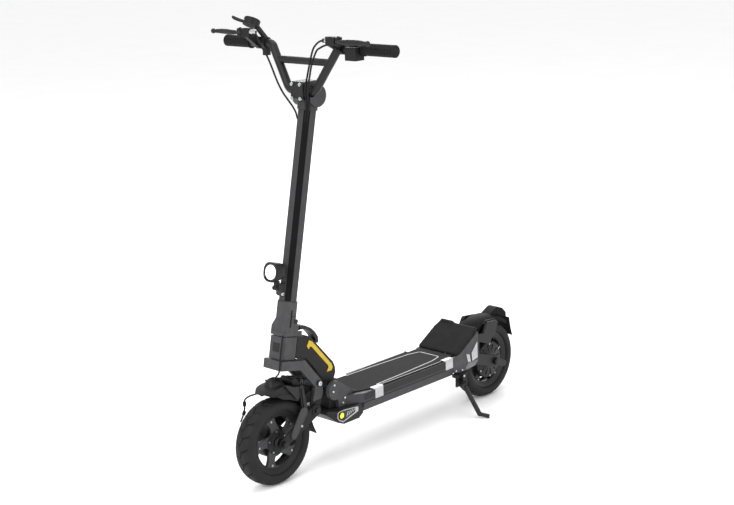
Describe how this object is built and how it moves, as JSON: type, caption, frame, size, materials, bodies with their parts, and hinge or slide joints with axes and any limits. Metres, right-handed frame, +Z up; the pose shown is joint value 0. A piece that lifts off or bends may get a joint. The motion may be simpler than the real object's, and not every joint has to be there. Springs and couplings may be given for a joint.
{
  "type": "electric kick scooter",
  "caption": "Folding electric kick scooter with sprung fork and rear arm, hub motor, drum brakes, riser bar, loop latch and side stand.",
  "frame": {"origin": "on the ground below the middle of the wheelbase, which is also the middle of the object's length and width", "axes": "+Z up, -Y forward, +X to the rider's left (the side of the stand)"},
  "size_m": [0.609, 1.102, 1.1982],
  "materials": {
    "frame_grey": "satin charcoal powder coat",
    "frame_black": "satin black powder coat",
    "cast_grey": "dark anodised, matt",
    "bright_metal": "zinc plated",
    "silver_trim": "satin silver",
    "plastic_black": "fine textured moulding",
    "rubber_black": "matt moulded rubber",
    "tyre_black": "tubeless tread rubber",
    "yellow_reflector": "reflective yellow",
    "amber_lens": "glossy yellow lens",
    "lamp_plastic": "gloss black with white lens",
    "battery_wrap": "shrink wrapped cells",
    "spring_steel": "black lacquered spring steel"
  },
  "bodies": {
    "frame": {"deck_shell": "frame_grey", "deck_mat": "rubber_black", "deck_fasteners": "bright_metal", "deck_trims": "silver_trim", "nose_housing": "plastic_black", "signal_bezels": "silver_trim", "signal_lenses": "amber_lens", "charge_port": "plastic_black", "neck_plates": "cast_grey", "neck_beam": "frame_black", "head_block": "cast_grey", "reflector_strips": "yellow_reflector", "steering_bearings": "bright_metal", "battery_pack": "battery_wrap", "motor_controller": "silver_trim", "footrest": "rubber_black", "rear_fairing": "frame_grey", "rear_bracket": "cast_grey", "kick_bracket": "cast_grey"},
    "side_stand": {"kickstand": "frame_black"},
    "fork": {"fork_crown": "cast_grey", "steerer": "bright_metal", "hinge_base": "cast_grey", "fork_bolts": "bright_metal", "fork_cable": "rubber_black", "front_fender": "plastic_black", "front_flap": "rubber_black"},
    "leading_arm": {"front_arm": "frame_black", "front_axle": "bright_metal", "front_springs": "spring_steel", "drum_plate": "cast_grey", "brake_cable_front": "rubber_black"},
    "front_cam": {"front_brake_arm": "bright_metal"},
    "front_wheel": {"front_tyre": "tyre_black", "front_rim": "frame_grey", "front_bearings": "bright_metal"},
    "latch": {"fold_lever": "frame_black"},
    "stem": {"stem_sleeve": "cast_grey", "stem_tube": "frame_grey", "stem_head": "cast_grey", "clamp_plate": "frame_black", "clamp_bolts": "bright_metal", "handlebar": "frame_black", "grips": "rubber_black", "brake_perches": "cast_grey", "display_unit": "plastic_black", "switch_pod": "plastic_black", "bar_cables": "rubber_black", "lamp_bracket": "frame_black"},
    "left_lever": {"brake_lever_left": "cast_grey"},
    "right_lever": {"brake_lever_right": "cast_grey"},
    "throttle": {"throttle_trigger": "plastic_black"},
    "mode_key": {"display_button": "plastic_black"},
    "horn_key": {"horn_button": "plastic_black"},
    "lamp": {"headlight": "lamp_plastic"},
    "trailing_arm": {"rear_arm": "cast_grey", "rear_spring": "spring_steel", "rear_fender": "plastic_black", "motor_stator": "bright_metal"},
    "drive_wheel": {"rear_wheel": "frame_grey"}
  },
  "joints": [
    {"name": "steering", "type": "hinge", "parent": "frame", "child": "fork", "pos_m": [0, -0.38432, 0.35748], "axis": [0, 0.2028, 0.9792], "range_deg": [-42, 42]},
    {"name": "front_suspension", "type": "hinge", "parent": "fork", "child": "leading_arm", "pos_m": [0, -0.314, 0.175], "axis": [-1, 0, 0], "range_deg": [0, 11], "stiffness_Nm_per_rad": 260, "springref_deg": -17.19, "deforming": ["front_springs", "brake_cable_front"]},
    {"name": "front_brake_cam", "type": "hinge", "parent": "leading_arm", "child": "front_cam", "pos_m": [-0.03, -0.462, 0.142], "axis": [1, 0, 0], "range_deg": [0, 17]},
    {"name": "front_wheel_spin", "type": "hinge", "parent": "leading_arm", "child": "front_wheel", "pos_m": [0, -0.435, 0.116], "axis": [1, 0, 0], "continuous": true},
    {"name": "latch_lever", "type": "hinge", "parent": "fork", "child": "latch", "pos_m": [0, -0.3342, 0.40224], "axis": [1, 0, 0], "range_deg": [0, 14], "stiffness_Nm_per_rad": 1.2, "springref_deg": -14.32},
    {"name": "stem_fold", "type": "hinge", "parent": "fork", "child": "stem", "pos_m": [0, -0.35756, 0.42751], "axis": [-1, 0, 0], "range_deg": [0, 78]},
    {"name": "lamp_tilt", "type": "hinge", "parent": "stem", "child": "lamp", "pos_m": [0, -0.39732, 0.52152], "axis": [1, 0, 0], "range_deg": [0, 25]},
    {"name": "left_brake", "type": "hinge", "parent": "stem", "child": "left_lever", "pos_m": [0.16, -0.298, 1.149], "axis": [0, 0, 1], "range_deg": [0, 12], "stiffness_Nm_per_rad": 1.6, "springref_deg": -11.46},
    {"name": "right_brake", "type": "hinge", "parent": "stem", "child": "right_lever", "pos_m": [-0.196, -0.298, 1.157], "axis": [0, 0, -1], "range_deg": [0, 12], "stiffness_Nm_per_rad": 1.6, "springref_deg": -11.46},
    {"name": "throttle_pull", "type": "hinge", "parent": "stem", "child": "throttle", "pos_m": [-0.2, -0.266, 1.18], "axis": [0, -0.4695, -0.8829], "range_deg": [0, 22], "stiffness_Nm_per_rad": 0.12, "springref_deg": -17.19},
    {"name": "mode_press", "type": "slide", "parent": "stem", "child": "mode_key", "axis": [0, -0.4695, -0.8829], "range_m": [0, 0.0015], "stiffness_N_per_m": 400, "springref_m": -0.001},
    {"name": "horn_press", "type": "slide", "parent": "stem", "child": "horn_key", "axis": [0, -1, 0], "range_m": [0, 0.002], "stiffness_N_per_m": 400, "springref_m": -0.001},
    {"name": "stand_swing", "type": "hinge", "parent": "frame", "child": "side_stand", "pos_m": [0.083, 0.243, 0.11], "axis": [1, 0, 0], "range_deg": [0, 80]},
    {"name": "rear_suspension", "type": "hinge", "parent": "frame", "child": "trailing_arm", "pos_m": [0, 0.285, 0.165], "axis": [1, 0, 0], "range_deg": [0, 8], "stiffness_Nm_per_rad": 300, "springref_deg": -17.19, "deforming": ["rear_spring"]},
    {"name": "rear_wheel_spin", "type": "hinge", "parent": "trailing_arm", "child": "drive_wheel", "pos_m": [0, 0.435, 0.116], "axis": [1, 0, 0], "continuous": true}
  ],
  "couplings": [
    {"joint": "front_brake_cam", "follows": "right_brake", "ratio": 1.4}
  ]
}
